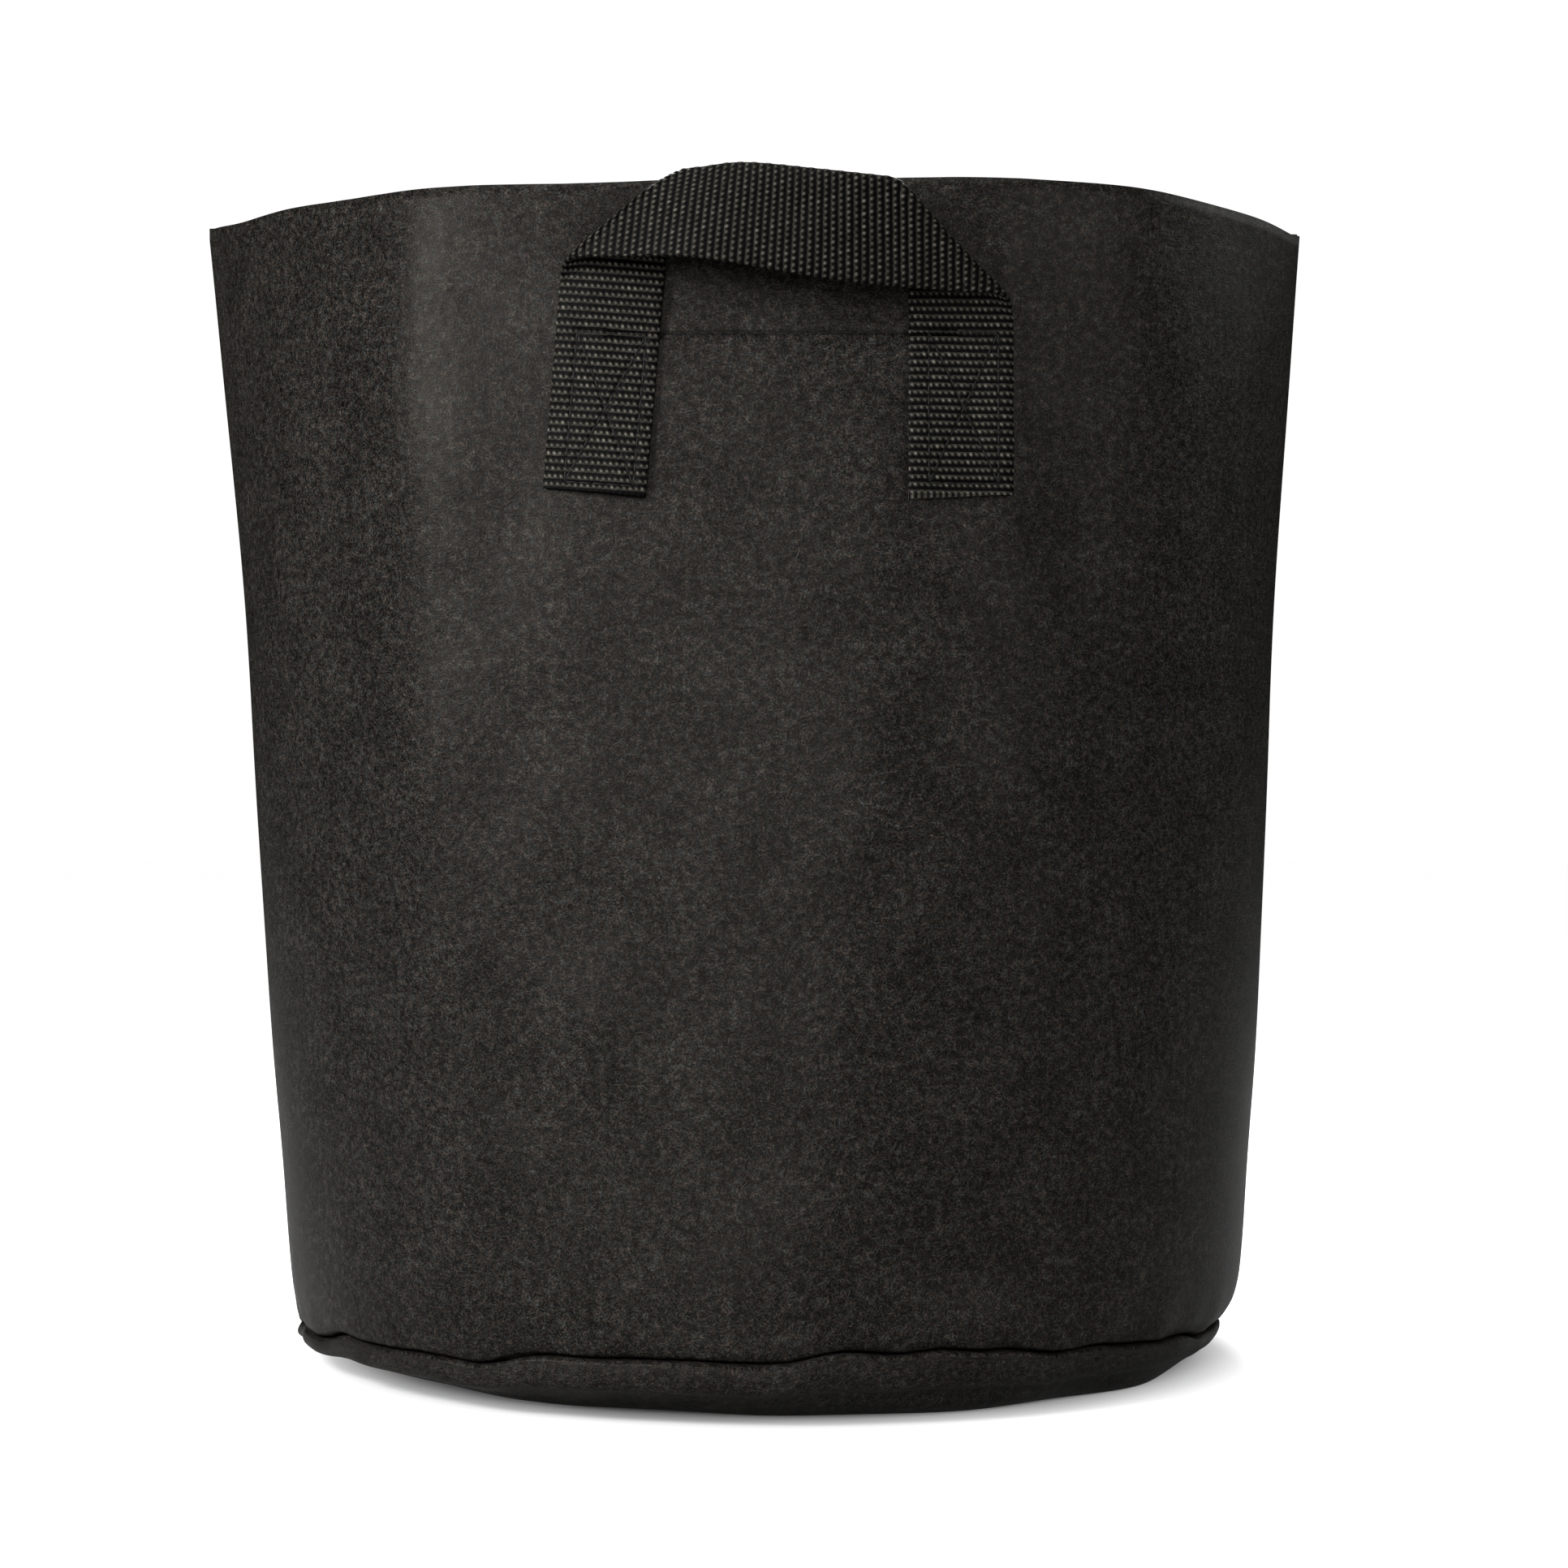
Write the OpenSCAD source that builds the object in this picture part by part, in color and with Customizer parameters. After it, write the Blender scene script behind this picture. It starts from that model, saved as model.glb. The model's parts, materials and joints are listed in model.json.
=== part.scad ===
// Round fabric grow bag with two webbing handles. Millimetres, +Z up.
// The origin is the middle of the base, on the floor. The front handle faces -Y
// and the wall panel's side seam is at +X. The wall is one tube of felt of nearly
// constant girth: round at the base, pressed flatter at the mouth.

/* [Bag] */
// Height from the floor to the rim
bag_h = 305; // [280:1:340]
// Diameter of the round base
base_d = 254; // [240:1:270]
// Width of the mouth between its two corners
mouth_w = 299; // [280:1:310]
// Thickness of the felt
felt_t = 2.5; // [2:0.1:3]
// Shift of the mouth's fullest point towards the side seam, as a share of its half width
skew = 0.08; // [0:0.01:0.15]
// Radius of the part of the base that lies flat on the floor
foot_r = 103; // [95:1:108]

/* [Seams] */
// Height of the base seam above the floor
seam_z = 10.5; // [9:0.5:13]
// Width of felt turned inward at each seam
allowance = 10; // [8:0.5:12]
// Slit between the two turned-in edges of the side seam
slit = 0.3; // [0.2:0.1:0.6]

/* [Handles] */
// Width of the webbing
strap_w = 25.4; // [20:0.1:30]
// Thickness of the webbing
strap_t = 1.6; // [1.2:0.1:2]
// Middle of the handles, to the side-seam side of the bag's middle
handle_x = 11.5; // [0:0.5:15]
// Distance between the middles of a handle's two legs
leg_spacing = 86; // [80:1:100]
// Depth below the rim of the line where each free loop bends out from its tabs
bend_drop = 39.2; // [36:0.1:50]
// Length of each sewn tab
tab_len = 41; // [36:1:46]
// Lean of the left leg towards the middle, in degrees
left_lean = 4.6; // [0:0.1:5]
// Rise of the grip band's lower edge above the bend line, at the left leg
band_left = 15.2; // [12:0.1:18]
// Rise of the grip band's lower edge above the bend line, at the right leg
band_right = 7; // [6.8:0.1:14]
// Radius of the soft folds between the legs and the grip band
fold_r = 2.8; // [2.4:0.1:2.8]
// How far the middle of the grip band bows out, beyond its folds
bow = 10; // [6:0.5:14]
// Tilt of the middle of the grip band, lower edge outward, in degrees
band_tilt = 25; // [0:1:30]

/* [Stitching] */
// Width of a sewing thread's line of stitches
thread_w = 0.7; // [0.5:0.1:1]
// Thickness of a sewing thread
thread_t = 0.4; // [0.3:0.1:0.5]
// Width of the stitched box on each tab
box_w = 17; // [12:1:19]
// Height of the stitched box on each tab
box_h = 37; // [30:1:38]
// Depth of the box's top row below the line where the loop bends
box_drop = 1.8; // [1.5:0.1:3]

/* [Hidden] */

felt_colour = "#34322e";
webbing_colour = "#2c2b29";
thread_colour = "#1c1b1a";

// Clearances: between sewn pieces, between the wall and a free loop, and between the
// wall's inner facets and the thread that lies on them
snug = 0.1;
free = 0.5;
facet_gap = 0.7;

base_r = base_d / 2;
wall_z0 = seam_z + snug;
flange_top = wall_z0 + felt_t;
stations = 64;
levels = 14;
fold_rise = PI * fold_r / sqrt(2);
half_w = strap_w / 2;
hinge_z = bag_h - bend_drop;
// Length of leg below each fold, along the strap from the bend line
left_rise = band_left - fold_rise;
right_rise = band_right - fold_rise;
// Free length of webbing from one bend line to the other
loop_len = leg_spacing + left_rise + right_rise + strap_w + 2 * fold_rise;
across = 4;
end_gap = 0.3;
// Where each fold starts and ends on the strap's middle line
left_fold = [left_rise + half_w, left_rise + half_w + 2 * fold_rise];
right_fold = [loop_len - right_rise - half_w - 2 * fold_rise, loop_len - right_rise - half_w];
// Stretches of the free loop: [start, slant there, end, slant there, rows]. The rows
// slant to lie along the 45 degree folds.
stretches = [
    [0, 0, left_fold[0], 1, 6],
    [left_fold[0], 1, left_fold[1], 1, 12],
    [left_fold[1], 1, right_fold[0], -1, 20],
    [right_fold[0], -1, right_fold[1], -1, 12],
    [right_fold[1], -1, loop_len, 0, 4]];
box_shift = 1;
box_top_z = hinge_z - box_drop;

// ---- shape of the wall ----

// Share of the wall's height, from 0 at the base seam to 1 at the rim
function share(z) = max(0, min(1, (z - wall_z0) / (bag_h - wall_z0)));

// Half width and half depth of the wall's outline; the girth stays nearly constant
function half_x(t) = base_r + (mouth_w / 2 - base_r) * (0.7 * sqrt(t) + 0.3 * pow(t, 3));
function half_y(t) = sqrt(2 * base_r * base_r - pow(half_x(t), 2)) * (1 + 0.05 * t * t);

// Exponents of the outline: a circle at the base, flat fronts and sharp sides at the rim
function power_x(t) = 2 + 1.5 * t;
function power_y(t) = 2 - t;

// Distance from the middle plane to the outline, at a share c of its half width
function bulge(c, t) =
    let (d = abs(c - skew * t * (1 - c * c)))
    pow(max(0, 1 - pow(min(1, d), power_x(t))), 1 / power_y(t));

// Front face of the wall: its Y at x and z
function front_y(x, z) =
    let (t = share(z)) -half_y(t) * bulge(x / half_x(t), t);

// Point of the outline at an angle round the bag, moved in by inset
function wall_point(angle, z, inset) =
    let (t = share(z), side = sin(angle) < 0 ? -1 : 1)
    [(half_x(t) - inset) * cos(angle), side * (half_y(t) - inset) * bulge(cos(angle), t), z];

// End of the wall at the side seam, above or below the slit
function seam_point(side, z, inset) = [half_x(share(z)) - inset, side * slit / 2, z];

// Heights that crowd towards the base, where the wall curves most
function level_z(j) = wall_z0 + (bag_h - wall_z0) * pow(j / levels, 1.6);

// Cross-section of the felt at one station: [height, inset] pairs, up outside,
// down inside, and round the flange that is turned in over the base
wall_section = concat(
    [for (j = [0 : levels]) [level_z(j), 0]],
    [for (j = [levels : -1 : 2]) [level_z(j), felt_t]],
    [[flange_top, felt_t], [flange_top, allowance], [wall_z0, allowance]]);

function wall_ring(i) = [for (p = wall_section)
    i == 0 ? seam_point(1, p[0], p[1]) :
    i == stations ? seam_point(-1, p[0], p[1]) :
    wall_point(360 * i / stations, p[0], p[1])];

// ---- shape of a strap ----

// Point of a leg's plane: u across from its middle line and v up it, as [x, z].
// side is -1 for the left leg and 1 for the right, whose u runs the other way.
function leg_point(side, u, v) =
    let (lean = side < 0 ? left_lean : 0)
    [handle_x + side * leg_spacing / 2 - side * (u * cos(lean) + v * sin(lean)),
     hinge_z - u * sin(lean) + v * cos(lean)];

// Wrap round the soft fold: distance q past the fold line gives [distance, lift]
function folded(q) =
    let (angle = q / fold_r * 180 / PI)
    q < 0 ? [q, 0] :
    angle < 180 ? [fold_r * sin(angle), fold_r * (1 - cos(angle))] :
    [PI * fold_r - q, 2 * fold_r];

// One leg, its 45 degree fold and the band that follows: [x, z, lift] at u, v
function folded_leg(side, rise, u, v) =
    let (along = (u + v - rise - half_w) / sqrt(2),
         f = folded((v - rise - u - half_w) / sqrt(2)),
         p = leg_point(side, (along - f[0]) / sqrt(2), (along + f[0]) / sqrt(2) + rise + half_w))
    [p[0], p[1], f[1]];

function smooth(k) = let (c = max(0, min(1, k))) c * c * (3 - 2 * c);

// Middle surface of the free loop: s along it, u across it
function loop_point(s, u) =
    let (k = smooth((s / loop_len - 0.3) / 0.4),
         hump = pow(sin(180 * s / loop_len), 2),
         left = folded_leg(-1, left_rise, u, s),
         right = folded_leg(1, right_rise, u, loop_len - s),
         p = left * (1 - k) + right * k,
         out = p[2] + bow * hump - u * sin(band_tilt * hump),
         z = p[1] - u * (1 - cos(band_tilt * hump)))
    [p[0], front_y(p[0], z) - free - strap_t / 2 - out, z];

function loop_normal(s, u) =
    let (d = 0.2,
         n = cross(loop_point(s + d, u) - loop_point(s - d, u),
                   loop_point(s, u + d) - loop_point(s, u - d)))
    n / norm(n);

// Rows of the loop as [place on the middle line, slant]
loop_rows = concat([[0, 0]], [for (part = stretches, i = [1 : part[4]])
    let (k = i / part[4])
    [part[0] * (1 - k) + part[2] * k, part[1] * (1 - k) + part[3] * k]]);

// Place along the strap of a row at u; both end rows stop level, above the bend line
function row_s(row, u) =
    max((end_gap + u * sin(left_lean)) / cos(left_lean),
        min(loop_len - end_gap, row[0] + row[1] * u));

function loop_side(row, face) = [for (j = [0 : across])
    let (u = face * strap_w * (j / across - 0.5), s = row_s(row, u))
    loop_point(s, u) + face * strap_t / 2 * loop_normal(s, u)];

function loop_ring(row) = concat(loop_side(row, 1), loop_side(row, -1));

// Cross-section of a sewn tab at v below the bend line, lying on the wall
function tab_ring(side, v) =
    let (lean = side < 0 ? left_lean : 0,
         face = function (dir, lift) [for (j = [0 : across])
            let (u = -side * dir * strap_w * (j / across - 0.5),
                 top = (u * sin(lean) - end_gap) / cos(lean),
                 p = leg_point(side, u, v == 0 ? top : v))
            [p[0], front_y(p[0], p[1]) - lift, p[1]]])
    concat(face(1, snug), face(-1, snug + strap_t));

// ---- builders ----

// Closed skin through a list of rings with equal numbers of points
module skin(rings) {
    count = len(rings[0]);
    last = len(rings) - 1;
    points = [for (ring = rings) each ring];
    sides = [for (i = [0 : last - 1], k = [0 : count - 1])
        let (a = i * count + k, b = i * count + (k + 1) % count)
        each [[a, b, b + count], [a, b + count, a + count]]];
    start = [for (k = [count - 1 : -1 : 0]) k];
    end = [for (k = [0 : count - 1]) last * count + k];
    polyhedron(points, concat([start], sides, [end]), convexity = 10);
}

// Bar that follows the corner of the wall at the side seam, on one side of the slit
module seam_bar(side, in_far, in_near, y_low, y_high, z_low) {
    heights = concat([z_low], [for (j = [2 : levels]) level_z(j)]);
    y = [side * y_low, side * y_high];
    skin([for (z = heights) let (x = half_x(share(z)))
        side > 0 ?
            [[x - in_far, y[1], z], [x - in_near, y[1], z], [x - in_near, y[0], z], [x - in_far, y[0], z]] :
            [[x - in_far, y[0], z], [x - in_near, y[0], z], [x - in_near, y[1], z], [x - in_far, y[1], z]]]);
}

// Slab that lies along the front wall between two lifts off its outer face
module wall_slab(x_low, x_high, z_low, z_high, lift_low, lift_high) {
    steps = 8;
    rows = 4;
    xs = [for (i = [0 : steps]) x_low + (x_high - x_low) * i / steps];
    skin([for (j = [0 : rows]) let (z = z_low + (z_high - z_low) * j / rows)
        concat([for (i = [0 : steps]) [xs[i], front_y(xs[i], z) - lift_low, z]],
               [for (i = [steps : -1 : 0]) [xs[i], front_y(xs[i], z) - lift_high, z]])]);
}

// Flat stitch pattern, drawn in x and z, laid on the front wall
module stitched(x_low, x_high, z_low, z_high, lift) {
    intersection() {
        wall_slab(x_low, x_high, z_low, z_high, lift, lift + thread_t);
        translate([0, -base_r / 2, 0])
            rotate([90, 0, 0])
                linear_extrude(base_r)
                    children();
    }
}

// Line of stitches from one corner of a centred box to the opposite one
module diagonal(dir) {
    rotate(dir * atan(box_h / box_w))
        square([norm([box_w, box_h]) - thread_w, thread_w], center = true);
}

// Box crossed by an X
module box_stitch() {
    difference() {
        square([box_w, box_h], center = true);
        square([box_w - 2 * thread_w, box_h - 2 * thread_w], center = true);
    }
    diagonal(1);
    diagonal(-1);
}

module placed_box(side) {
    lean = side < 0 ? left_lean : 0;
    middle = leg_point(side, 0, -box_drop - box_h / 2);
    translate([middle[0] + side * box_shift, middle[1]])
        rotate(-lean)
            box_stitch();
}

// Both boxes and the row of stitches between them, on one face of the work
module handle_stitches(box_lift, row_lift) {
    margin = 3;
    for (side = [-1, 1]) {
        x = handle_x + side * leg_spacing / 2;
        stitched(x - half_w - margin, x + half_w, hinge_z - tab_len, hinge_z, box_lift)
            placed_box(side);
    }
    row_w = leg_spacing - strap_w - margin;
    stitched(handle_x - leg_spacing / 2, handle_x + leg_spacing / 2,
             box_top_z - margin, box_top_z + margin, row_lift)
        translate([handle_x, box_top_z])
            square([row_w, thread_w], center = true);
}

module thread_ring(z_low) {
    rotate_extrude($fn = 96)
        translate([base_r - allowance * 0.6 - thread_w / 2, z_low])
            square([thread_w, thread_t]);
}

module tab(side) {
    color(webbing_colour)
        skin([for (i = [across : -1 : 0]) tab_ring(side, -tab_len * i / across)]);
}

// ---- pieces ----

// Felt wall: one panel wrapped to a tube, edges turned inward at both seams
module wall_panel() {
    fin_gap = slit / 2 + 0.02;
    color(felt_colour) {
        union() {
            skin([for (i = [0 : stations]) wall_ring(i)]);
            for (side = [-1, 1])
                seam_bar(side, allowance, felt_t / 2, fin_gap, fin_gap + felt_t, flange_top + 1);
        }
    }
}

// Felt base: a flat disc whose edge rolls up to the seam and turns inward
module base_panel() {
    lip = base_r - foot_r;
    rise = seam_z - 2 * felt_t;
    outside = [for (a = [0 : 15 : 90]) [foot_r + lip * sin(a), seam_z * (1 - cos(a))]];
    inside = [for (a = [90 : -15 : 0])
        [foot_r + (lip - felt_t) * sin(a), felt_t + rise * (1 - cos(a))]];
    turned_in = [[base_r - allowance, seam_z], [base_r - allowance, seam_z - felt_t]];
    color(felt_colour)
        rotate_extrude($fn = 96)
            polygon(concat([[0, 0]], outside, turned_in, inside, [[0, felt_t]]));
}

// Side seam, needle side and bobbin side: one straight row through both fins
module side_seam_thread(side) {
    near = slit / 2 + felt_t + 0.02 + snug;
    middle = allowance * 0.6;
    color(thread_colour)
        seam_bar(side, middle + thread_w / 2, middle - thread_w / 2,
                 near, near + thread_t, flange_top + 1);
}

module side_seam_needle_thread() side_seam_thread(-1);

module side_seam_bobbin_thread() side_seam_thread(1);

// Base seam: one round row through the wall's flange and the base's turned edge
module base_seam_needle_thread() {
    color(thread_colour)
        thread_ring(flange_top + snug);
}

module base_seam_bobbin_thread() {
    color(thread_colour)
        thread_ring(seam_z - felt_t - snug - thread_t);
}

// Free loop of a handle: both legs fold forward at 45 degrees into the grip band
module grip_loop() {
    color(webbing_colour)
        skin([for (row = loop_rows) loop_ring(row)]);
}

module handle_needle_thread() {
    color(thread_colour)
        handle_stitches(2 * snug + strap_t, snug);
}

module handle_bobbin_thread() {
    inner = -felt_t - facet_gap - thread_t;
    color(thread_colour)
        handle_stitches(inner, inner);
}

module front_left_tab() tab(-1);

module front_right_tab() tab(1);

module front_grip_loop() grip_loop();

module front_handle_needle_thread() handle_needle_thread();

module front_handle_bobbin_thread() handle_bobbin_thread();

// The back handle is the front one mirrored through the bag
module back_left_tab() mirror([0, 1, 0]) tab(-1);

module back_right_tab() mirror([0, 1, 0]) tab(1);

module back_grip_loop() mirror([0, 1, 0]) grip_loop();

module back_handle_needle_thread() mirror([0, 1, 0]) handle_needle_thread();

module back_handle_bobbin_thread() mirror([0, 1, 0]) handle_bobbin_thread();

wall_panel();
base_panel();
side_seam_needle_thread();
side_seam_bobbin_thread();
base_seam_needle_thread();
base_seam_bobbin_thread();
front_left_tab();
front_right_tab();
front_grip_loop();
front_handle_needle_thread();
front_handle_bobbin_thread();
back_left_tab();
back_right_tab();
back_grip_loop();
back_handle_needle_thread();
back_handle_bobbin_thread();
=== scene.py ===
"""Fabric grow bag: a felt wall and base, two webbing handles and every stitch that holds them."""
import json
import math
from functools import partial

import bpy
import numpy as np
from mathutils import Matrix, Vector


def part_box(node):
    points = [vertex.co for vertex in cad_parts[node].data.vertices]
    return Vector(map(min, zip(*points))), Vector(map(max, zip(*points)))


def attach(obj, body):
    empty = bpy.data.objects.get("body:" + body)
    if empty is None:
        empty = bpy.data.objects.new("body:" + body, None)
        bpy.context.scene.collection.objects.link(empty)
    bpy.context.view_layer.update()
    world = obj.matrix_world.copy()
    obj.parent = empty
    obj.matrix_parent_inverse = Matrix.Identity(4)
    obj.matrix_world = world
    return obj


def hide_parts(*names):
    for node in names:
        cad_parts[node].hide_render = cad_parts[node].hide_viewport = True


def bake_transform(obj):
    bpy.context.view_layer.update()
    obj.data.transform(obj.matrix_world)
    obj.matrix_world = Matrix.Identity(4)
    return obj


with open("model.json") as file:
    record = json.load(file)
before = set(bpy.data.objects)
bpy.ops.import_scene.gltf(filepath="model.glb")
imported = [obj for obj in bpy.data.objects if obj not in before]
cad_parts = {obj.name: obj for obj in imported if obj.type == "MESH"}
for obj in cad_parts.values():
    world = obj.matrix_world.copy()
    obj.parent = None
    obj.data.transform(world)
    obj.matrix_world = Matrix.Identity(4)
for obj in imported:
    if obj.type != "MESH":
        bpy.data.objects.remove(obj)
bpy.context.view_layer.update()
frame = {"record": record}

MM = 0.001
FRONT, BACK = -1, 1  # faces of the bag, towards -Y and +Y
LEFT, RIGHT = -1, 1  # legs of a handle, towards -X and +X

# ---- sizes taken from the frame ----

BASE_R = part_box("base_panel")[1].x
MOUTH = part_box("wall_panel")[1].x
RIM_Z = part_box("wall_panel")[1].z
SEAM_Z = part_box("wall_panel")[0].z
HINGE = {j["child"]: j["pos_m"] for j in frame["record"]["behaviour"]["joints"]}
HINGE_Z = HINGE["front_handle"][2]
HANDLE_X = HINGE["front_handle"][0]

# ---- the felt, as sewn ----

FELT = 2.5 * MM
ALLOWANCE = 10 * MM
SLIT = 0.3 * MM  # gap between the two layers of the side seam
SKEW = 0.08  # how far off the middle the mouth is fullest
WALL_STEP = (2.1 * MM, 3.0 * MM)  # spacing of the wall's mesh, round the bag and up it

# Where a sewn edge turns in: (distance in from the seam, distance above or below it), in mm
WALL_TURN_IN = [(10, 0.15), (7.5, 0.15), (5, 0.15), (3, 0.2), (1.7, 0.22), (0.75, 0.45), (0.2, 1.1)]
BASE_TURN_IN = [(0.05, 1.1), (0.3, 0.6), (0.9, 0.32), (1.8, 0.2),
                (3, 0.15), (5, 0.15), (7.5, 0.15), (10, 0.15)]
WALL_FOOT = [3, 4.2, 5.6, 7.2, 9, 11, 13.2, 15.6]  # first rows of the wall above its seam, in mm
ROW_LINES = np.array([-3, -2.2, -1.6, -1.1, -0.7, -0.35, 0, 0.35, 0.7, 1.1, 1.6, 2.2, 3]) * MM

# ---- the webbing ----

STRAP_W = 25.4 * MM
STRAP_T = 1.5 * MM
HALF_W = STRAP_W / 2
LEG_SPACING = 86 * MM
TAB = {LEFT: 41 * MM, RIGHT: 42.2 * MM}  # below the bend line
LEAN = {LEFT: math.radians(4.6), RIGHT: 0.0}
FOLD_R = 2.8 * MM  # of the soft fold between a leg and the grip
FOLD_RISE = math.pi * FOLD_R / math.sqrt(2)
RISE = {LEFT: 15.2 * MM - FOLD_RISE, RIGHT: 7 * MM - FOLD_RISE}
LOOP = LEG_SPACING + RISE[LEFT] + RISE[RIGHT] + STRAP_W + 2 * FOLD_RISE
BOW = 10 * MM  # how far the grip stands off the wall
ARCH = 4.6 * MM  # how far its upper edge rises, between these places along the strap
ARCH_ENDS = (42 * MM, 112 * MM)
TILT = math.radians(25)
PICK = 1.88 * MM
WARPS = 34
WARP = STRAP_W / WARPS
WEAVE_DEPTH = 0.24 * MM
CUT = {LEFT: math.radians(2), RIGHT: math.radians(3.6)}  # slant of each tab's cut end

# ---- the stitching ----

BOX_W, BOX_H = 17 * MM, 37 * MM
BOX_DROP = 1.8 * MM
BOX_SHIFT = {LEFT: 1.1 * MM, RIGHT: 0.6 * MM}
ROW_Z = HINGE_Z - BOX_DROP
THREAD_R = 0.24 * MM
STITCH = 3.2 * MM
STITCH_DEPTH = 0.25 * MM


def smooth(k):
    k = np.clip(k, 0, 1)
    return k * k * (3 - 2 * k)


def between(z, low, high, soft):
    """1 from low to high, fading over soft beyond them."""
    return smooth((z - low) / soft + 1) * smooth((high - z) / soft + 1)


def waves(p, q, size, seed, count=14):
    """Smooth random relief of about unit height, with features of about size metres."""
    rng = np.random.default_rng(seed)
    total = 0
    for _ in range(count):
        turn, phase = rng.uniform(0, 2 * math.pi, 2)
        wave = 2 * math.pi / (size * rng.uniform(0.7, 1.6))
        total = total + np.cos(wave * (p * math.cos(turn) + q * math.sin(turn)) + phase)
    return total / math.sqrt(count / 2)


# ---- shape of the wall, as in the CAD ----


def share(z):
    """Height as a share of the wall: 0 at the base seam and 1 at the rim."""
    return np.clip((z - SEAM_Z) / (RIM_Z - SEAM_Z), 0, 1)


def half_x(t):
    """Half the bag's width at share t of its height."""
    return BASE_R + (MOUTH - BASE_R) * (0.7 * np.sqrt(t) + 0.3 * t**3)


def half_y(t):
    """Half the bag's depth there: it shrinks as the width grows, so the girth hardly changes."""
    return np.sqrt(2 * BASE_R**2 - half_x(t) ** 2) * (1 + 0.05 * t * t)


def bulge(c, t):
    """Outline of a face across the bag: 0 at its side edges, c of -1 and 1, and 1 near its middle."""
    d = np.minimum(1, np.abs(c - SKEW * t * (1 - c * c)))
    return np.maximum(0, 1 - d ** (2 + 1.5 * t)) ** (1 / (2 - t))


# Soft ridges and hollows of the standing felt, on the front and on the back:
# (middle x, slope of x over height, height, half width, lowest z, highest z, fade), lengths in mm
FOLDS = {
    FRONT: [
        (-81, 0.02, 4.8, 17, 130, 270, 80),
        (-107, -0.05, -3.4, 13, 100, 275, 90),
        (66, 0.0, 1.5, 5, 228, 275, 28),
        (84, -0.06, -2.2, 13, 150, 330, 130),
        (112, -0.08, 1.2, 12, 60, 240, 60),
        (-122, -0.10, 1.0, 11, 40, 200, 60),
        (20, 0.05, 0.9, 30, 60, 140, 60),
    ],
    BACK: [
        (-70, 0.03, 1.8, 16, 210, 330, 120),
        (-98, -0.04, -1.8, 13, 150, 330, 120),
        (78, -0.05, 1.6, 14, 180, 330, 110),
        (104, -0.06, -1.6, 12, 120, 330, 130),
        (-10, 0.04, 0.9, 32, 70, 150, 60),
    ],
}


def sag(x, z, face):
    """How far the felt stands out from the plain outline, on one face of the bag."""
    out = 0
    for middle, drift, height, width, low, high, fade in FOLDS[face]:
        across = (x - middle * MM - drift * (z - 0.25)) / (width * MM)
        out = out + height * MM * np.exp(-across**2) * between(z, low * MM, high * MM, fade * MM)
    seed = 10 if face == FRONT else 20
    out = out + 1.0 * MM * waves(x, z * 0.6, 0.10, seed)
    out = out + 0.30 * MM * waves(x, z * 0.7, 0.034, seed + 1)
    out = out + 0.07 * MM * waves(x, z, 0.011, seed + 2)
    reach = LEG_SPACING / 2
    row = np.exp(-(((z - ROW_Z) / (0.9 * MM)) ** 2)) * (np.abs(x - HANDLE_X) < reach)
    out = out - 0.40 * MM * row
    return out * (1 - (np.abs(x) / half_x(share(z))) ** 6)


def lean_x(z):
    """The bag leans a little: its foot to +X and its mouth to -X."""
    return (2.9 - 4.1 * share(z)) * MM * smooth(z / (16 * MM))


def wall_y(x, z, face):
    """Outer face of the felt at x and z."""
    t = share(z)
    plain_x = x - lean_x(z)
    return face * (half_y(t) * bulge(plain_x / half_x(t), t) + sag(plain_x, z, face))


def seam_height(angle):
    """The base seam rides low at the sides and high at the front and back, where the base curls up."""
    around = angle * BASE_R
    wavy = 0.8 * waves(around, 0 * around, 0.05, 31, 5) + 0.25 * waves(around, 0 * around, 0.018, 32, 5)
    return (15.6 - 6.8 * np.cos(angle) ** 4 + 0.9 * np.cos(angle) + wavy) * MM


def seam_pull(angle):
    """How far the felt draws in at the base seam, with its puckers."""
    around = angle * BASE_R
    pucker = 0.40 * waves(around, 0 * around, 0.021, 33, 8)
    return (0.9 + 3.0 * np.maximum(0, np.cos(angle)) ** 3 + pucker) * MM


def rim_wave(angle):
    """The cut rim's rise and fall round the bag: lower at the front and back, higher at the left."""
    left, right = np.maximum(0, -np.cos(angle)), np.maximum(0, np.cos(angle))
    wave = 0.3 * MM * waves(angle * BASE_R, 0 * angle, 0.07, 41, 6)
    wave = wave - 2.6 * MM * np.abs(np.sin(angle)) ** 0.8
    dip = 1.2 * MM * np.exp(-(((angle - math.radians(243)) / 0.20) ** 2))
    return wave + MM * (2.9 * left**4 - right**4) - dip


# ---- making meshes ----


def make(name, points, faces, material, body, uv=None):
    """A smooth-shaded mesh piece that rides on a body."""
    mesh = bpy.data.meshes.new(name)
    mesh.from_pydata(np.asarray(points).tolist(), [], [list(map(int, f)) for f in faces])
    if uv is not None:
        corners = np.empty(len(mesh.loops), int)
        mesh.loops.foreach_get("vertex_index", corners)
        mesh.uv_layers.new(name="UVMap").data.foreach_set("uv", np.asarray(uv, float)[corners].ravel())
    mesh.polygons.foreach_set("use_smooth", np.ones(len(mesh.polygons), bool))
    mesh.materials.append(material)
    piece = bpy.data.objects.new(name, mesh)
    bpy.context.collection.objects.link(piece)
    if body:
        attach(piece, body)
    return piece


def grid_faces(rows, columns, closed=False):
    """Quads of a grid of points stored row by row. closed joins the last column to the first."""
    last = columns if closed else columns - 1
    i, j = np.meshgrid(np.arange(rows - 1), np.arange(last), indexing="ij")
    k = (j + 1) % columns
    a, b = i * columns + j, i * columns + k
    return np.stack([a, b, b + columns, a + columns], -1).reshape(-1, 4)


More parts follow.
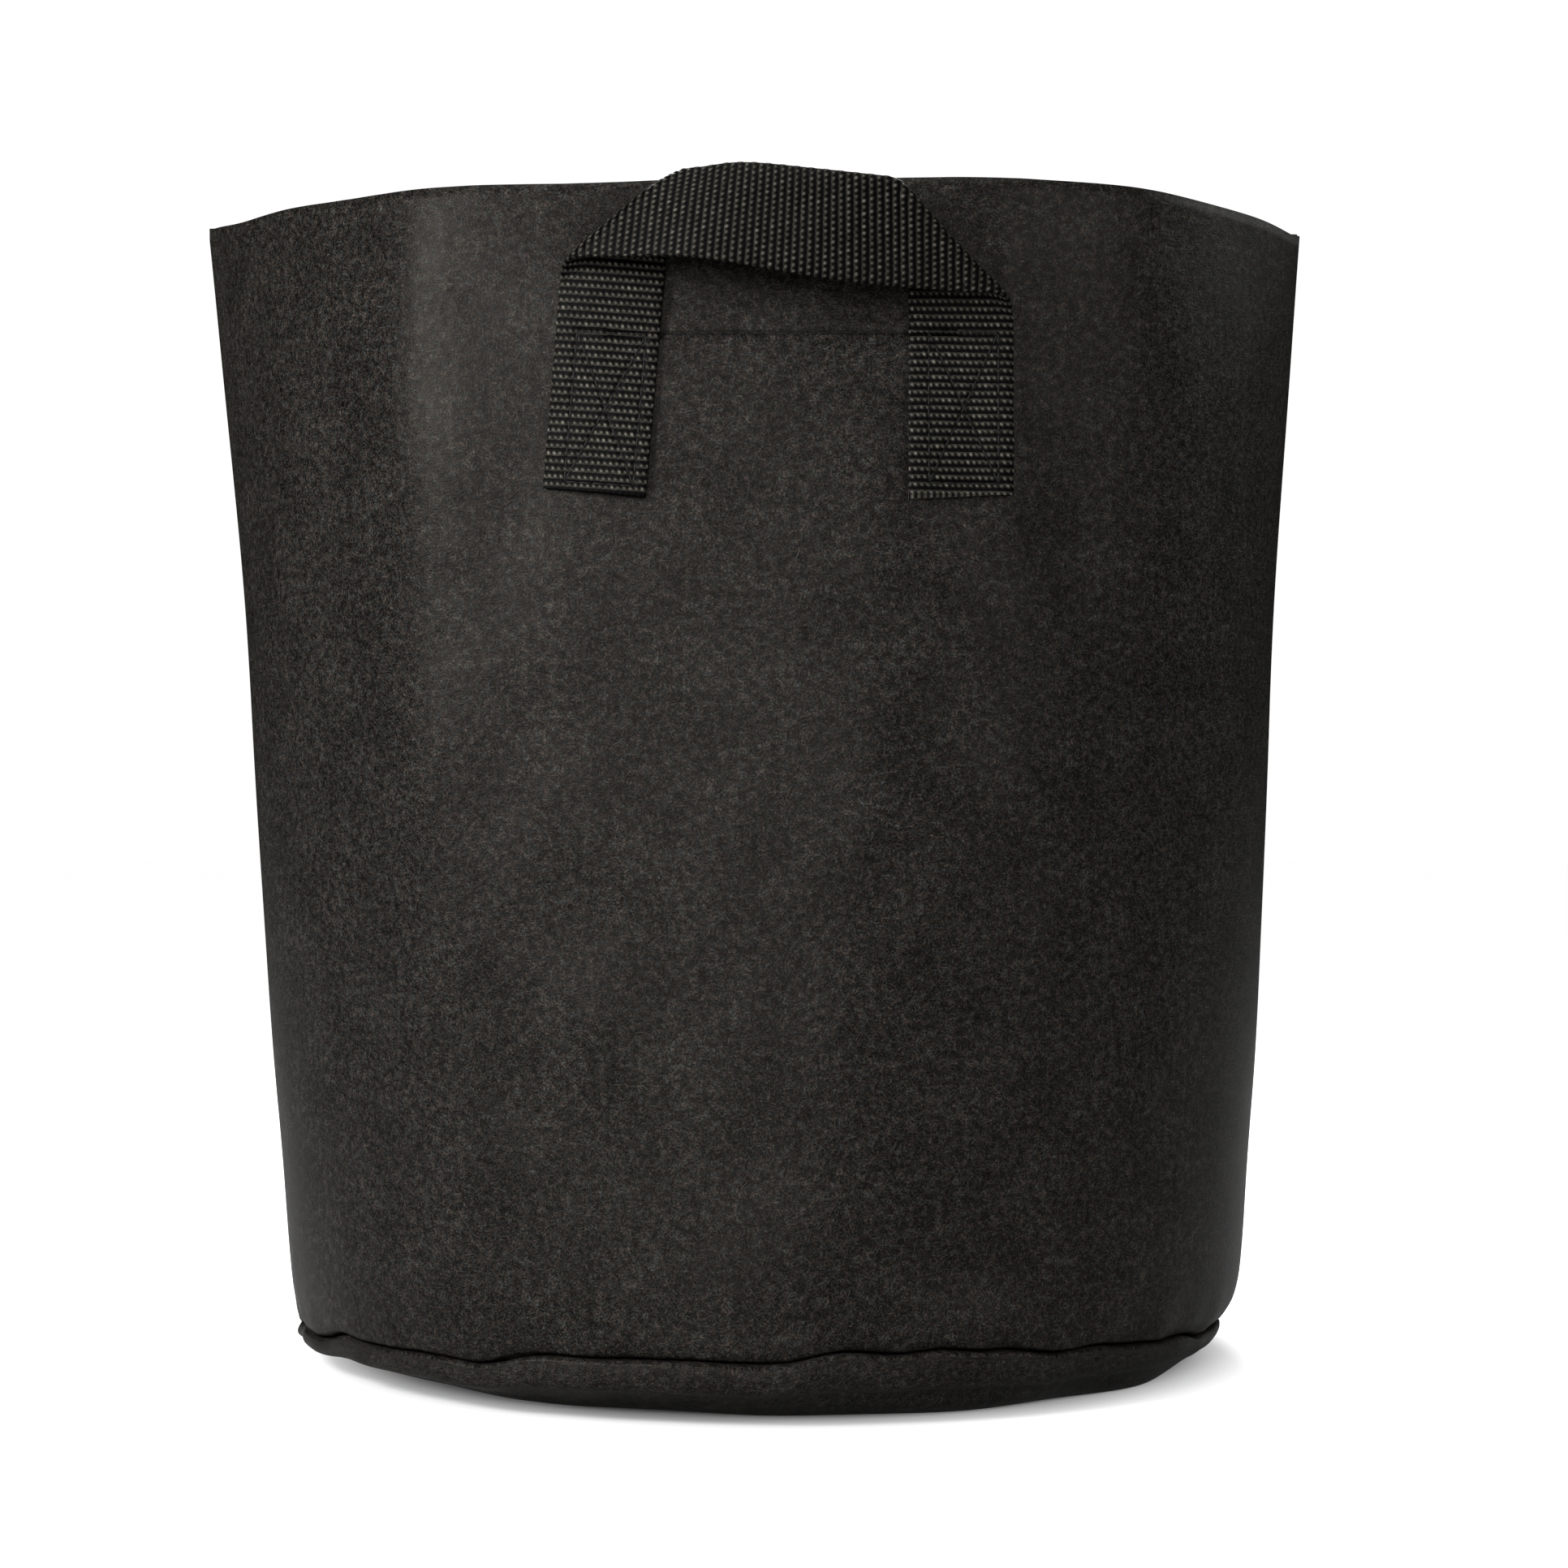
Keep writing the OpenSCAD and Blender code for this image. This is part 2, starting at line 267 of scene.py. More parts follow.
def thicken(piece, thickness):
    """Gives an open sheet its thickness on the inner side, with the modifier applied."""
    solid = piece.modifiers.new("thickness", "SOLIDIFY")
    solid.thickness, solid.offset = thickness, -1
    solid.use_quality_normals = True
    depsgraph = bpy.context.evaluated_depsgraph_get()
    mesh = bpy.data.meshes.new_from_object(piece.evaluated_get(depsgraph))
    piece.modifiers.clear()
    piece.data = mesh


# ---- materials ----


def material_of(name):
    """A new material, with its nodes, its links, and the two calls that add maths and ramps to them."""
    material = bpy.data.materials.new(name)
    material.use_nodes = True
    nodes, links = material.node_tree.nodes, material.node_tree.links
    return material, nodes, links, partial(math_node, nodes, links), partial(ramp, nodes, links)


def node(nodes, kind, **values):
    made = nodes.new(kind)
    for key, value in values.items():
        setattr(made, key, value)
    return made


def math_node(nodes, links, operation, *values):
    """A Math node: each value is a number or another node's output."""
    made = node(nodes, "ShaderNodeMath", operation=operation)
    for socket, value in zip(made.inputs, values):
        if isinstance(value, (int, float)):
            socket.default_value = value
        else:
            links.new(value, socket)
    return made.outputs[0]


def ramp(nodes, links, source, *stops):
    """A colour ramp; each stop is a place and a grey level or colour."""
    made = node(nodes, "ShaderNodeValToRGB")
    elements = made.color_ramp.elements
    while len(elements) < len(stops):
        elements.new(0.5)
    for element, (place, colour) in zip(elements, stops):
        element.position = place
        grey = isinstance(colour, (int, float))
        element.color = (colour, colour, colour, 1) if grey else (*colour, 1)
    links.new(source, made.inputs[0])
    return made.outputs[0]


def fibre_layer(nodes, links, uv, turn, length, width, cut, bend):
    """Sparse fibres that lie one way: long thin noise, bent a little, cut to its peaks."""
    wander = node(nodes, "ShaderNodeTexNoise", noise_dimensions="2D")
    wander.inputs["Scale"].default_value = 160
    wander.inputs["Detail"].default_value = 1
    links.new(uv, wander.inputs["Vector"])
    shift = node(nodes, "ShaderNodeVectorMath", operation="MULTIPLY_ADD")
    links.new(wander.outputs["Color"], shift.inputs[0])
    shift.inputs[1].default_value = (bend, bend, 0)
    links.new(uv, shift.inputs[2])
    turned = node(nodes, "ShaderNodeMapping")
    turned.inputs["Rotation"].default_value = (0, 0, turn)
    turned.inputs["Location"].default_value = (turn * 3.1, turn * 1.7, 0)
    links.new(shift.outputs[0], turned.inputs["Vector"])
    stretched = node(nodes, "ShaderNodeMapping")
    stretched.inputs["Scale"].default_value = (1 / length, 1 / width, 1)
    links.new(turned.outputs[0], stretched.inputs["Vector"])
    noise = node(nodes, "ShaderNodeTexNoise", noise_dimensions="2D")
    noise.inputs["Scale"].default_value = 1
    noise.inputs["Detail"].default_value = 0.5
    links.new(stretched.outputs[0], noise.inputs["Vector"])
    return ramp(nodes, links, noise.outputs["Fac"], (cut, 0.0), (cut + 0.10, 1.0))


# Fibres of the felt: length, width, how much of the noise is cut away, how far they bend
FINE_FIBRE = (1.6 * MM, 0.22 * MM, 0.70, 0.0014)
LONG_FIBRE = (3.6 * MM, 0.24 * MM, 0.74, 0.0030)
FELT_WARM = (0.0112, 0.0088, 0.0075)
FELT_MIDDLE = (0.0098, 0.0092, 0.0078)
FELT_COOL = (0.0086, 0.0090, 0.0088)
# painted highlight: the colour of light on the webbing's weave crowns; the webbing itself is black
WEBBING_HIGHLIGHT = (0.075, 0.070, 0.058)
THREAD_DARK = (0.0015, 0.0015, 0.0015)
THREAD_LIT = (0.007, 0.0065, 0.006)


def felt_material():
    """Charcoal needle-punched felt: matted dark fibre, cloudy patches and loose fibres, painted pale:
    partly their own paler colour and partly painted glints.
    """
    material, nodes, links, calc, graded = material_of("felt")
    shader = nodes["Principled BSDF"]
    uv = node(nodes, "ShaderNodeUVMap", uv_map="UVMap").outputs[0]

    def noise(scale, detail, rough=0.5):
        made = node(nodes, "ShaderNodeTexNoise", noise_dimensions="2D")
        made.inputs["Scale"].default_value = scale
        made.inputs["Detail"].default_value = detail
        made.inputs["Roughness"].default_value = rough
        links.new(uv, made.inputs["Vector"])
        return made.outputs["Fac"]

    mat = noise(1900, 2, 0.65)
    clumps = noise(420, 3, 0.65)
    clouds = noise(60, 3, 0.55)
    turns = [(0.35 + k * math.pi / 4, FINE_FIBRE) for k in range(4)]
    turns += [(0.9 + k * math.pi / 3, LONG_FIBRE) for k in range(3)]
    layers = [fibre_layer(nodes, links, uv, turn, *fibre) for turn, fibre in turns]
    total = layers[0]
    for layer in layers[1:]:
        total = calc("ADD", total, layer)
    fibres = calc("MINIMUM", total, 1.2)

    tone = graded(clumps, (0.30, 0.30), (0.50, 0.80), (0.72, 2.3))
    cloud = graded(clouds, (0.32, 0.68), (0.70, 1.4))
    speck = graded(mat, (0.30, 0.20), (0.50, 0.75), (0.72, 2.6))
    shade = calc("MULTIPLY", calc("MULTIPLY", tone, cloud), speck)
    # the loose fibres are painted lighter: partly their own paler colour and partly painted glints
    level = calc("MULTIPLY_ADD", fibres, 2.4, calc("MULTIPLY", shade, 0.80))
    # painted shade: the felt is painted darker along the groove of the stitch row between the handle's
    # legs
    painted_shade = node(nodes, "ShaderNodeAttribute", attribute_name="painted_shade").outputs["Fac"]
    level = calc("MULTIPLY", level, calc("MULTIPLY_ADD", painted_shade, -0.7, 1.0))
    colour = node(nodes, "ShaderNodeVectorMath", operation="SCALE")
    hue = graded(noise(700, 2), (0.36, FELT_WARM), (0.50, FELT_MIDDLE), (0.64, FELT_COOL))
    links.new(hue, colour.inputs[0])
    links.new(level, colour.inputs["Scale"])
    links.new(colour.outputs[0], shader.inputs["Base Color"])
    shader.inputs["Specular IOR Level"].default_value = 0.08
    shader.inputs["Specular Tint"].default_value = (1.0, 0.94, 0.84, 1)

    relief = calc("MULTIPLY_ADD", fibres, 0.5, calc("ADD", mat, clumps))
    bump = node(nodes, "ShaderNodeBump")
    bump.inputs["Strength"].default_value = 0.45
    bump.inputs["Distance"].default_value = 0.25 * MM
    links.new(relief, bump.inputs["Height"])
    links.new(bump.outputs[0], shader.inputs["Normal"])
    rough = graded(mat, (0.2, 0.34), (0.8, 0.46))
    links.new(rough, shader.inputs["Roughness"])
    return material


def webbing_material():
    """Black polypropylene webbing: U counts picks along the strap and V counts warp ends across it."""
    material, nodes, links, calc, graded = material_of("webbing")
    shader = nodes["Principled BSDF"]
    uv = node(nodes, "ShaderNodeUVMap", uv_map="UVMap")
    parts = node(nodes, "ShaderNodeSeparateXYZ")
    links.new(uv.outputs[0], parts.inputs[0])
    along, across = parts.outputs[0], parts.outputs[1]

    def wave(source, turns):
        return calc("COSINE", calc("MULTIPLY", source, turns * math.pi))

    # painted highlight and shade: the colour is light on the weave's crowns, as a highlight, and near
    # black in the gaps between rows and dots, as shade
    nearest = calc("ROUND", along)
    off_row = calc("SUBTRACT", along, nearest)
    slanted = calc("MULTIPLY_ADD", off_row, 0.7, across)
    row = calc("ABSOLUTE", wave(along, 1))
    dot = calc("MULTIPLY", wave(nearest, 1), wave(slanted, 1))
    dots = graded(calc("MULTIPLY_ADD", dot, 0.5, 0.5), (0.05, 0.05), (0.55, 0.45), (1.0, 1.25))
    ridges = graded(row, (0.55, 0.02), (0.86, 0.50), (1.0, 1.25))
    crown = calc("MULTIPLY", dots, ridges)
    low_side = wave(calc("ADD", along, 0.20), 1)
    joined = graded(calc("ABSOLUTE", low_side), (0.88, 0.0), (1.0, 0.42))
    crown = calc("MAXIMUM", crown, joined)
    cell = node(nodes, "ShaderNodeCombineXYZ")
    links.new(nearest, cell.inputs[0])
    links.new(calc("ROUND", slanted), cell.inputs[1])
    each = node(nodes, "ShaderNodeTexWhiteNoise", noise_dimensions="2D")
    links.new(cell.outputs[0], each.inputs["Vector"])
    strand = graded(each.outputs["Value"], (0.0, 0.70), (0.7, 0.95), (1.0, 1.45))
    uneven = node(nodes, "ShaderNodeTexNoise", noise_dimensions="2D")
    uneven.inputs["Scale"].default_value = 0.9
    uneven.inputs["Detail"].default_value = 3
    links.new(uv.outputs[0], uneven.inputs["Vector"])
    patchy = graded(uneven.outputs["Fac"], (0.3, 0.6), (0.72, 1.35))
    strands = calc("MULTIPLY_ADD", wave(across, 14), 0.16, 0.84)
    # painted shade: the webbing is painted darker in the grooves its stitches press, and darker all
    # over its inner face, the face the grip shows after its folds
    painted_shade = node(nodes, "ShaderNodeAttribute", attribute_name="painted_shade").outputs["Fac"]
    painted_shade_factor = calc("MULTIPLY_ADD", painted_shade, -0.6, 1.0)
    patchy = calc("MULTIPLY", patchy, strand)
    level = calc("MULTIPLY", calc("MULTIPLY", crown, patchy), calc("MULTIPLY", strands, painted_shade_factor))
    colour = node(nodes, "ShaderNodeVectorMath", operation="SCALE")
    colour.inputs[0].default_value = WEBBING_HIGHLIGHT
    links.new(level, colour.inputs["Scale"])
    links.new(colour.outputs[0], shader.inputs["Base Color"])

    bump = node(nodes, "ShaderNodeBump")
    bump.inputs["Strength"].default_value = 0.6
    bump.inputs["Distance"].default_value = 0.12 * MM
    links.new(calc("MULTIPLY_ADD", strands, 0.5, crown), bump.inputs["Height"])
    links.new(bump.outputs[0], shader.inputs["Normal"])
    rough = graded(uneven.outputs["Fac"], (0.3, 0.40), (0.75, 0.58))
    links.new(rough, shader.inputs["Roughness"])
    shader.inputs["Specular IOR Level"].default_value = 0.03
    return material


def thread_material():
    """Black twisted sewing thread."""
    material, nodes, links, calc, graded = material_of("thread")
    shader = nodes["Principled BSDF"]
    place = node(nodes, "ShaderNodeTexCoord").outputs["Object"]
    twist = node(nodes, "ShaderNodeTexWave", bands_direction="DIAGONAL")
    twist.inputs["Scale"].default_value = 900
    twist.inputs["Distortion"].default_value = 1.5
    links.new(place, twist.inputs["Vector"])
    colour = graded(twist.outputs["Fac"], (0.2, THREAD_DARK), (0.9, THREAD_LIT))
    links.new(colour, shader.inputs["Base Color"])
    bump = node(nodes, "ShaderNodeBump")
    bump.inputs["Strength"].default_value = 0.4
    bump.inputs["Distance"].default_value = 0.05 * MM
    links.new(twist.outputs["Fac"], bump.inputs["Height"])
    links.new(bump.outputs[0], shader.inputs["Normal"])
    rough = graded(twist.outputs["Fac"], (0.0, 0.60), (1.0, 0.48))
    links.new(rough, shader.inputs["Roughness"])
    shader.inputs["Specular IOR Level"].default_value = 0.18
    return material


# ---- wall panel ----


def stations(t=0.6):
    """Angles of the wall's stations: close together at the side seam, about 2 mm apart elsewhere."""
    dense = np.linspace(0, 2 * math.pi, 8001)
    side = np.where(np.sin(dense) < 0, -1, 1)
    x, y = half_x(t) * np.cos(dense), side * half_y(t) * bulge(np.cos(dense), t)
    arc = np.concatenate([[0], np.cumsum(np.hypot(np.diff(x), np.diff(y)))])
    near = np.cumsum(np.linspace(0.5, 2.0, 16)) * MM
    middle = np.linspace(near[-1], arc[-1] - near[-1], int((arc[-1] - 2 * near[-1]) / WALL_STEP[0]))
    places = np.concatenate([near, middle[1:-1], arc[-1] - near[::-1]])
    return np.interp(places, arc, dense), arc[-1]


def wall_panel(material):
    """One panel of felt, from the turned-in edge at its foot to the cut rim and from fin to fin."""
    angles, girth = stations()
    fin = np.linspace(ALLOWANCE, 0.4 * MM, 13)
    depth = np.concatenate([fin, 0 * angles, fin[::-1]])
    around = np.concatenate([0 * fin, angles, 0 * fin + 2 * math.pi])
    side = np.where(np.arange(len(depth)) < len(depth) / 2, 1, -1)
    is_fin = depth > 0
    foot = WALL_FOOT[-1] * MM
    tall = RIM_Z - seam_height(FRONT * math.pi / 2) - foot
    climbs = np.linspace(0, 1, int(tall / WALL_STEP[1]) + 1)[1:]
    row = (ROW_Z - RIM_Z) / tall + 1
    climbs = climbs[np.abs(climbs - row) > 4 * MM / tall]
    climbs = np.sort(np.concatenate([climbs, row + ROW_LINES / tall]))
    rows = [(inset * MM, rise * MM, 0) for inset, rise in WALL_TURN_IN]
    rows += [(0, rise * MM, 0) for rise in WALL_FOOT] + [(0, foot, climb) for climb in climbs]

    seam, pull, rim = seam_height(around), seam_pull(around), rim_wave(around)
    points = []
    for inset, rise, climb in rows:
        z = seam + rise + climb * (RIM_Z - seam - foot) + rim * climb**8
        t = share(z)
        kept = depth * (1 - inset / ALLOWANCE) if inset else depth
        x = np.where(is_fin, half_x(t) - kept, half_x(t) * np.cos(around))
        y = np.where(is_fin, side * SLIT / 2, side * half_y(t) * bulge(np.cos(around), t))
        draw = inset + pull * np.exp(-(rise + climb * 0.25) / (7 * MM))
        x, y = x - draw * np.cos(around), y - draw * np.sin(around)
        out = np.where(y < 0, sag(x, z, FRONT), sag(x, z, BACK)) * smooth((z - seam) / (20 * MM))
        swell = 0.8 * smooth((t - 0.25) / 0.3) - 1.1 * np.exp(-(((z - 50 * MM) / (28 * MM)) ** 2))
        flank = (swell + 0.4 * waves(y, z * 0.6, 0.08, 42)) * MM * smooth((z - seam) / (20 * MM))
        flank = flank * np.abs(x / half_x(t)) ** 8
        x = x + np.where(is_fin, 0, np.sign(x) * flank) + lean_x(z)
        points.append(np.stack([x, y + side * np.where(is_fin, 0, out), z], -1))
    points = round_corner(np.array(points), len(fin))
    columns = len(depth)
    along = np.concatenate([-fin, np.interp(angles, [0, 2 * math.pi], [0, girth]), girth + fin[::-1]])
    up = np.array([rise - inset + climb * (RIM_Z - foot) for inset, rise, climb in rows])
    uv = np.stack(np.broadcast_arrays(along[None, :], up[:, None]), -1).reshape(-1, 2)
    faces = grid_faces(len(rows), columns)
    piece = make("wall_felt", points.reshape(-1, 3), faces, material, "bag", uv)
    x, y, z = np.moveaxis(points, -1, 0)
    # painted shade: marks the groove of the stitch row, where the felt's colour is darkened as shade
    on_row = (np.abs(y) > BASE_R / 2) & (np.abs(x - HANDLE_X) < LEG_SPACING / 2)
    painted_shade = piece.data.attributes.new("painted_shade", "FLOAT", "POINT")
    painted_shade.data.foreach_set("value", (np.exp(-(((z - ROW_Z) / (0.6 * MM)) ** 2)) * on_row).ravel())
    thicken(piece, FELT)
    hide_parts("wall_panel")


def round_corner(points, fin, passes=6):
    """Rounds the felt where it turns in at the side seam."""
    weight = np.zeros(points.shape[1])
    weight[fin - 5:fin + 6] = 1
    weight = np.maximum(weight, weight[::-1])[None, :, None]
    for _ in range(passes):
        mean = points.copy()
        mean[:, 1:-1] = (points[:, :-2] + 2 * points[:, 1:-1] + points[:, 2:]) / 4
        points = points + (mean - points) * weight
    return points


# ---- base panel ----


def base_panel(material):
    """A disc of felt that lies on the floor, curls up to the seam and turns in under the wall."""
    count = 300
    angle = np.arange(count) * 2 * math.pi / count
    seam, pull = seam_height(angle), seam_pull(angle)
    edge = BASE_R - 0.5 * MM
    uneven = waves(angle * BASE_R, 0 * angle, 0.06, 51, 6)
    flat_r = edge - (30 - 8 * np.abs(np.sin(angle)) - 18 * np.cos(angle) + 1.5 * uneven) * MM
    curl_r = edge - (4 + 0.5 * uneven) * MM
    lift = (0.46 - 0.05 * np.cos(angle)) * seam
    slope = 2 * lift / (curl_r - flat_r)
    rings, places = [], []
    for k in np.linspace(0.06, 1, 22):
        rings.append((flat_r * k, 0 * angle))
        places.append(k * flat_r)
    for k in np.linspace(0.12, 1, 9):
        rings.append((flat_r + (curl_r - flat_r) * k, lift * k**2))
        places.append(flat_r + (curl_r - flat_r) * k)
    for k in np.linspace(0.1, 0.93, 9):
        a = k * math.pi / 2
        rise = (seam - 1.6 * MM - lift) * (1 - math.cos(a))
        rings.append((curl_r + (edge - curl_r) * math.sin(a) ** 0.6,
                      lift + 0.4 * slope * (edge - curl_r) * math.sin(a) * (1 - k) + rise))
        places.append(curl_r + a * 9 * MM)
    for inset, drop in BASE_TURN_IN:
        rings.append((edge - inset * MM, seam - drop * MM))
        places.append(flat_r + (32 + inset) * MM)
    points, uv = [[[0, 0, 0]]], [[[0, 0]]]
    for (radius, z), place in zip(rings, places):
        draw = pull * np.exp(-np.abs(seam - z) / (7 * MM)) * smooth((radius - flat_r) / (20 * MM))
        r = radius - draw
        shift = lean_x(z)
        points.append(np.stack([r * np.cos(angle) + shift, r * np.sin(angle), z], -1))
        uv.append(np.stack([place * np.cos(angle), place * np.sin(angle)], -1))
    faces = [[0, 1 + (i + 1) % count, 1 + i] for i in range(count)]
    faces += (grid_faces(len(rings), count, closed=True) + 1).tolist()
    piece = make("base_felt", np.concatenate(points), faces, material, "bag", np.concatenate(uv) + 2.0)
    thicken(piece, FELT)
    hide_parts("base_panel")


# ---- straps ----


def leg_point(side, u, v):
    """A leg's plane: u across from its middle line and v up it, as x and z."""
    lean = LEAN[side]
    x = HANDLE_X + side * LEG_SPACING / 2 - side * (u * math.cos(lean) + v * math.sin(lean))
    return x, HINGE_Z - u * math.sin(lean) + v * math.cos(lean)


def folded_leg(side, u, v):
    """A leg, its soft 45 degree fold and the band after it: x, z and lift off the wall."""
    rise, root = RISE[side], math.sqrt(2)
    along = (u + v - rise - HALF_W) / root
    past = (v - rise - u - HALF_W) / root
    turn = np.clip(past / FOLD_R, 0, math.pi)
    reach = np.where(past < math.pi * FOLD_R, FOLD_R * np.sin(turn), math.pi * FOLD_R - past)
    reach = np.where(past < 0, past, reach)
    x, z = leg_point(side, (along - reach) / root, (along + reach) / root + rise + HALF_W)
    return x, z, FOLD_R * (1 - np.cos(turn))


def strap_middle(s, u, face):
    """Middle surface of a strap: s along it from the left bend line, u across it."""
    s, u = np.broadcast_arrays(s, u)
    k = smooth((s / LOOP - 0.3) / 0.4)
    free = smooth(s / (8 * MM)) * smooth((LOOP - s) / (8 * MM))
    hump = np.sin(math.pi * np.clip(s / LOOP, 0, 1)) ** 2
    left, right = folded_leg(LEFT, u, s), folded_leg(RIGHT, u, LOOP - s)
    x, z, lift = (a * (1 - k) + b * k for a, b in zip(left, right))
    arch = np.sin(math.pi * np.clip((s - ARCH_ENDS[0]) / (ARCH_ENDS[1] - ARCH_ENDS[0]), 0, 1))
    z = z - u * (1 - np.cos(TILT * hump)) + ARCH * arch * (u / STRAP_W + 0.5)
    corner = np.exp(-(((s - ARCH_ENDS[0] - 4 * MM) / (9 * MM)) ** 2)) * smooth(u / HALF_W)
    z = z - 1.6 * MM * corner
    out = lift + BOW * hump - u * np.sin(TILT * hump) + (0.1 + 0.4 * free) * MM + STRAP_T / 2
    return np.stack([x, wall_y(x, np.minimum(z, RIM_Z), face) + face * out, z], -1)


def strap_frame(s, u, face):
    """Middle surface and the normal that faces away from the bag on the legs."""
    d = 0.15 * MM
    ds = strap_middle(s + d, u, face) - strap_middle(s - d, u, face)
    du = strap_middle(s, u + d, face) - strap_middle(s, u - d, face)
    normal = np.cross(ds, du) * face
    return strap_middle(s, u, face), normal / np.linalg.norm(normal, axis=-1, keepdims=True)


def box_lines(side):
    """The stitched box and its X, as segments of (v, u) on a leg; v is below the bend line."""
    middle = -side * BOX_SHIFT[side]
    u0, u1 = middle - BOX_W / 2, middle + BOX_W / 2
    v0, v1 = -BOX_DROP - BOX_H, -BOX_DROP
    corners = [(v1, u0), (v1, u1), (v0, u1), (v0, u0)]
    edges = [(corners[i], corners[(i + 1) % 4]) for i in range(4)]
    return edges + [(corners[0], corners[2]), (corners[1], corners[3])]


def groove(v, u, side):
    """1 on the box's stitches, fading to 0 about a millimetre away."""
    nearest = np.full(np.broadcast(v, u).shape, 1.0)
    for (v0, u0), (v1, u1) in box_lines(side):
        dv, du = v1 - v0, u1 - u0
        k = np.clip(((v - v0) * dv + (u - u0) * du) / (dv * dv + du * du), 0, 1)
        nearest = np.minimum(nearest, np.hypot(v - v0 - k * dv, u - u0 - k * du))
    return np.exp(-((nearest / (0.55 * MM)) ** 2))


def pressed(s, u):
    """How far the stitches press the webbing down, from 0 to 1."""
    return np.where(s < 0, groove(s, u, LEFT), np.where(s > LOOP, groove(LOOP - s, u, RIGHT), 0))


def strap_surface(s, u, face, outer=1):
    """A point on a face of the webbing, with its weave: outer 1 faces away from the bag on the legs."""
    middle, normal = strap_frame(s, u, face)
    pick, warp = np.cos(math.pi * s / PICK), np.cos(math.pi * (u + HALF_W) / WARP)
    crown = 0.6 * np.abs(pick) ** 0.8 + 0.4 * pick * warp * outer - 0.3
    selvedge = 1 - 0.55 * (np.abs(u) / HALF_W) ** 14
    press = pressed(s, u)
    height = STRAP_T / 2 * selvedge + WEAVE_DEPTH * crown * (1 - 0.7 * press)
    height = height - STITCH_DEPTH * press * (outer > 0)
    return middle + outer * height[..., None] * normal, normal


def strap(name, face, material):
    """One length of webbing: left tab, folded grip, right tab."""
    rows = np.arange(-TAB[LEFT], LOOP + TAB[RIGHT], PICK / 4)
    u = np.linspace(-HALF_W, HALF_W, 2 * WARPS + 1)
    s = np.repeat(rows[:, None], len(u), 1)
    s[0] += 0 * u - u * math.tan(CUT[LEFT])
    s[-1] += u * math.tan(CUT[RIGHT])
    outer, _ = strap_surface(s, u[None, :], face, 1)
    inner, _ = strap_surface(s, u[None, :], face, -1)
    points = np.concatenate([outer, inner[:, ::-1]], 1)
    columns = points.shape[1]
    faces = grid_faces(len(rows), columns, closed=True).tolist()
    last = (len(rows) - 1) * columns
    half = len(u)
    for k in range(half - 1):
        mate = columns - 1 - k
        faces.append([k + 1, k, mate, mate - 1])
        faces.append([last + k, last + k + 1, last + mate - 1, last + mate])
    if face == BACK:
        faces = [f[::-1] for f in faces]
    ends = (u + HALF_W) / WARP
    v = np.concatenate([ends, 2 * WARPS + 1 - ends[::-1]])
    uv = np.stack(np.broadcast_arrays((s[:, :1] / PICK), v[None, :]), -1)
    piece = make(name, points.reshape(-1, 3), faces, material, None, uv.reshape(-1, 2))
    # painted shade: where the stitches press the outer face, and all over the inner face
    press = pressed(s, u[None, :])
    painted_shade = piece.data.attributes.new("painted_shade", "FLOAT", "POINT")
    painted_shade.data.foreach_set("value", np.concatenate([press, 0.45 + 0 * press], 1).ravel())
    side = "front" if face == FRONT else "back"
    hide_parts(f"{side}_left_tab", f"{side}_right_tab", f"{side}_grip_loop")
    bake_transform(piece)


# ---- stitches ----


def stitch_run(line, normals):
    """Cuts a smooth line on a surface into stitches: start, end and normal of each."""
    arc = np.concatenate([[0], np.cumsum(np.linalg.norm(np.diff(line, axis=0), axis=1))])
    count = max(1, round(arc[-1] / STITCH))
    pitch = arc[-1] / count
    starts = (np.arange(count) + 0.04) * pitch

    def at(places, values):
        return np.stack([np.interp(places, arc, values[:, i]) for i in range(3)], -1)

    return at(starts, line), at(starts + 0.92 * pitch, line), at(starts + 0.46 * pitch, normals)


def stitches(name, runs, material, node_name, arch=0.20 * MM):
    """Every stitch of a thread, as one mesh of small tubes that dip into the cloth at their ends."""
    starts, ends, normals = (np.concatenate(part) for part in zip(*(stitch_run(*run) for run in runs)))
    normals = normals / np.linalg.norm(normals, axis=-1, keepdims=True)
    along = ends - starts
    forward = along / np.linalg.norm(along, axis=-1, keepdims=True)
    across = np.cross(forward, normals)
    rings, sides = 7, 6
    k = np.linspace(0, 1, rings)
    height = arch * np.sin(math.pi * k) ** 0.6 - 0.16 * MM
    radius = THREAD_R * (0.55 + 0.45 * np.sin(math.pi * k) ** 0.5)
    turn = np.arange(sides) * 2 * math.pi / sides
    centre = starts[:, None] + along[:, None] * k[None, :, None]
    centre = centre + normals[:, None] * height[None, :, None]
    spoke = (np.cos(turn)[None, None, :, None] * across[:, None, None]
             + np.sin(turn)[None, None, :, None] * normals[:, None, None])
    points = centre[:, :, None] + spoke * radius[None, :, None, None]
    tube = grid_faces(rings, sides, closed=True).tolist()
    tube += [list(range(sides))[::-1], [(rings - 1) * sides + i for i in range(sides)]]
    faces = [[i + n * rings * sides for i in f[::-1]] for n in range(len(starts)) for f in tube]
    piece = make(name, points.reshape(-1, 3), faces, material, "bag")
    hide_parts(node_name)


def line_between(start, end, count=40):
    k = np.linspace(0, 1, count)
    return start[0] + (end[0] - start[0]) * k, start[1] + (end[1] - start[1]) * k


